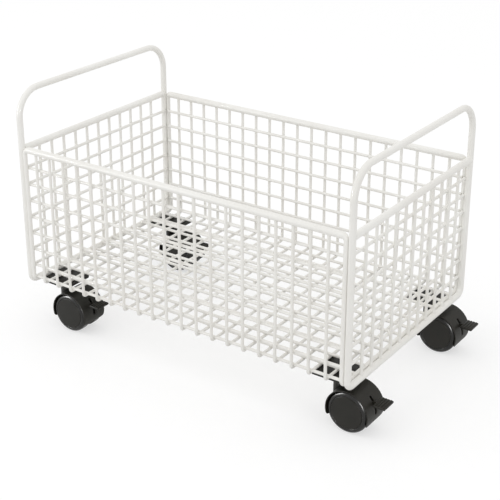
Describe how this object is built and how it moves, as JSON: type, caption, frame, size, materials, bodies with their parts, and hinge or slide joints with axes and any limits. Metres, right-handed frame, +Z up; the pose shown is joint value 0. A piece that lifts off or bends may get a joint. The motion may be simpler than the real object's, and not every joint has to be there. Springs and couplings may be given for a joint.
{
  "type": "wire basket cart",
  "caption": "Low open basket of welded wire on swivel twin wheel casters with pedal brakes, with a looped tube handle at each end, for moving books, files or mail",
  "frame": {"origin": "on the floor, in the middle of the box that holds the whole cart at rest", "axes": "+X along the basket, the way the four pedals point; +Y across it, to the back of the picture; +Z up"},
  "size_m": [0.5798, 0.3276, 0.364],
  "materials": {
    "enamel": "off-white satin powder coat",
    "hood_nylon": "satin black moulding",
    "wheel_nylon": "satin black tread",
    "cap_nylon": "semi-gloss black cap",
    "plate_black": "black coated steel plate",
    "zinc": "bright zinc plate"
  },
  "bodies": {
    "basket": {"left_end_frame": "enamel", "right_end_frame": "enamel", "front_rim_rail": "enamel", "back_rim_rail": "enamel", "left_rim_rail": "enamel", "right_rim_rail": "enamel", "left_border_rod": "enamel", "right_border_rod": "enamel", "front_mesh": "enamel", "back_mesh": "enamel", "floor_mesh": "enamel", "left_end_mesh": "enamel", "right_end_mesh": "enamel", "front_left_mount_plate": "plate_black", "front_left_kingpin": "zinc", "front_right_mount_plate": "plate_black", "front_right_kingpin": "zinc", "back_left_mount_plate": "plate_black", "back_left_kingpin": "zinc", "back_right_mount_plate": "plate_black", "back_right_kingpin": "zinc"},
    "front_left_caster": {"front_left_hood": "hood_nylon", "front_left_stem_bush": "zinc", "front_left_axle": "zinc", "front_left_brake_pin": "zinc"},
    "front_left_outer_wheel_body": {"front_left_wheel_outer": "wheel_nylon", "front_left_hub_cap_outer": "cap_nylon"},
    "front_left_inner_wheel_body": {"front_left_wheel_inner": "wheel_nylon", "front_left_hub_cap_inner": "cap_nylon"},
    "front_left_pedal_body": {"front_left_brake_lever": "hood_nylon"},
    "front_right_caster": {"front_right_hood": "hood_nylon", "front_right_stem_bush": "zinc", "front_right_axle": "zinc", "front_right_brake_pin": "zinc"},
    "front_right_outer_wheel_body": {"front_right_wheel_outer": "wheel_nylon", "front_right_hub_cap_outer": "cap_nylon"},
    "front_right_inner_wheel_body": {"front_right_wheel_inner": "wheel_nylon", "front_right_hub_cap_inner": "cap_nylon"},
    "front_right_pedal_body": {"front_right_brake_lever": "hood_nylon"},
    "back_left_caster": {"back_left_hood": "hood_nylon", "back_left_stem_bush": "zinc", "back_left_axle": "zinc", "back_left_brake_pin": "zinc"},
    "back_left_outer_wheel_body": {"back_left_wheel_outer": "wheel_nylon", "back_left_hub_cap_outer": "cap_nylon"},
    "back_left_inner_wheel_body": {"back_left_wheel_inner": "wheel_nylon", "back_left_hub_cap_inner": "cap_nylon"},
    "back_left_pedal_body": {"back_left_brake_lever": "hood_nylon"},
    "back_right_caster": {"back_right_hood": "hood_nylon", "back_right_stem_bush": "zinc", "back_right_axle": "zinc", "back_right_brake_pin": "zinc"},
    "back_right_outer_wheel_body": {"back_right_wheel_outer": "wheel_nylon", "back_right_hub_cap_outer": "cap_nylon"},
    "back_right_inner_wheel_body": {"back_right_wheel_inner": "wheel_nylon", "back_right_hub_cap_inner": "cap_nylon"},
    "back_right_pedal_body": {"back_right_brake_lever": "hood_nylon"}
  },
  "joints": [
    {"name": "front_left_swivel", "type": "hinge", "parent": "basket", "child": "front_left_caster", "pos_m": [-0.25262, -0.1245, 0.06], "axis": [0, 0, 1], "continuous": true},
    {"name": "front_left_outer_wheel", "type": "hinge", "parent": "front_left_caster", "child": "front_left_outer_wheel_body", "pos_m": [-0.22812, -0.1385, 0.029], "axis": [0, 1, 0], "continuous": true},
    {"name": "front_left_inner_wheel", "type": "hinge", "parent": "front_left_caster", "child": "front_left_inner_wheel_body", "pos_m": [-0.22812, -0.1105, 0.029], "axis": [0, 1, 0], "continuous": true},
    {"name": "front_left_pedal", "type": "hinge", "parent": "front_left_caster", "child": "front_left_pedal_body", "pos_m": [-0.21412, -0.1245, 0.039], "axis": [0, 1, 0], "range_deg": [0, 10]},
    {"name": "front_right_swivel", "type": "hinge", "parent": "basket", "child": "front_right_caster", "pos_m": [0.21637, -0.1245, 0.06], "axis": [0, 0, 1], "continuous": true},
    {"name": "front_right_outer_wheel", "type": "hinge", "parent": "front_right_caster", "child": "front_right_outer_wheel_body", "pos_m": [0.24087, -0.1385, 0.029], "axis": [0, 1, 0], "continuous": true},
    {"name": "front_right_inner_wheel", "type": "hinge", "parent": "front_right_caster", "child": "front_right_inner_wheel_body", "pos_m": [0.24087, -0.1105, 0.029], "axis": [0, 1, 0], "continuous": true},
    {"name": "front_right_pedal", "type": "hinge", "parent": "front_right_caster", "child": "front_right_pedal_body", "pos_m": [0.25487, -0.1245, 0.039], "axis": [0, 1, 0], "range_deg": [0, 10]},
    {"name": "back_left_swivel", "type": "hinge", "parent": "basket", "child": "back_left_caster", "pos_m": [-0.25262, 0.1245, 0.06], "axis": [0, 0, 1], "continuous": true},
    {"name": "back_left_outer_wheel", "type": "hinge", "parent": "back_left_caster", "child": "back_left_outer_wheel_body", "pos_m": [-0.22812, 0.1385, 0.029], "axis": [0, 1, 0], "continuous": true},
    {"name": "back_left_inner_wheel", "type": "hinge", "parent": "back_left_caster", "child": "back_left_inner_wheel_body", "pos_m": [-0.22812, 0.1105, 0.029], "axis": [0, 1, 0], "continuous": true},
    {"name": "back_left_pedal", "type": "hinge", "parent": "back_left_caster", "child": "back_left_pedal_body", "pos_m": [-0.21412, 0.1245, 0.039], "axis": [0, 1, 0], "range_deg": [0, 10]},
    {"name": "back_right_swivel", "type": "hinge", "parent": "basket", "child": "back_right_caster", "pos_m": [0.21637, 0.1245, 0.06], "axis": [0, 0, 1], "continuous": true},
    {"name": "back_right_outer_wheel", "type": "hinge", "parent": "back_right_caster", "child": "back_right_outer_wheel_body", "pos_m": [0.24087, 0.1385, 0.029], "axis": [0, 1, 0], "continuous": true},
    {"name": "back_right_inner_wheel", "type": "hinge", "parent": "back_right_caster", "child": "back_right_inner_wheel_body", "pos_m": [0.24087, 0.1105, 0.029], "axis": [0, 1, 0], "continuous": true},
    {"name": "back_right_pedal", "type": "hinge", "parent": "back_right_caster", "child": "back_right_pedal_body", "pos_m": [0.25487, 0.1245, 0.039], "axis": [0, 1, 0], "range_deg": [0, 10]}
  ]
}
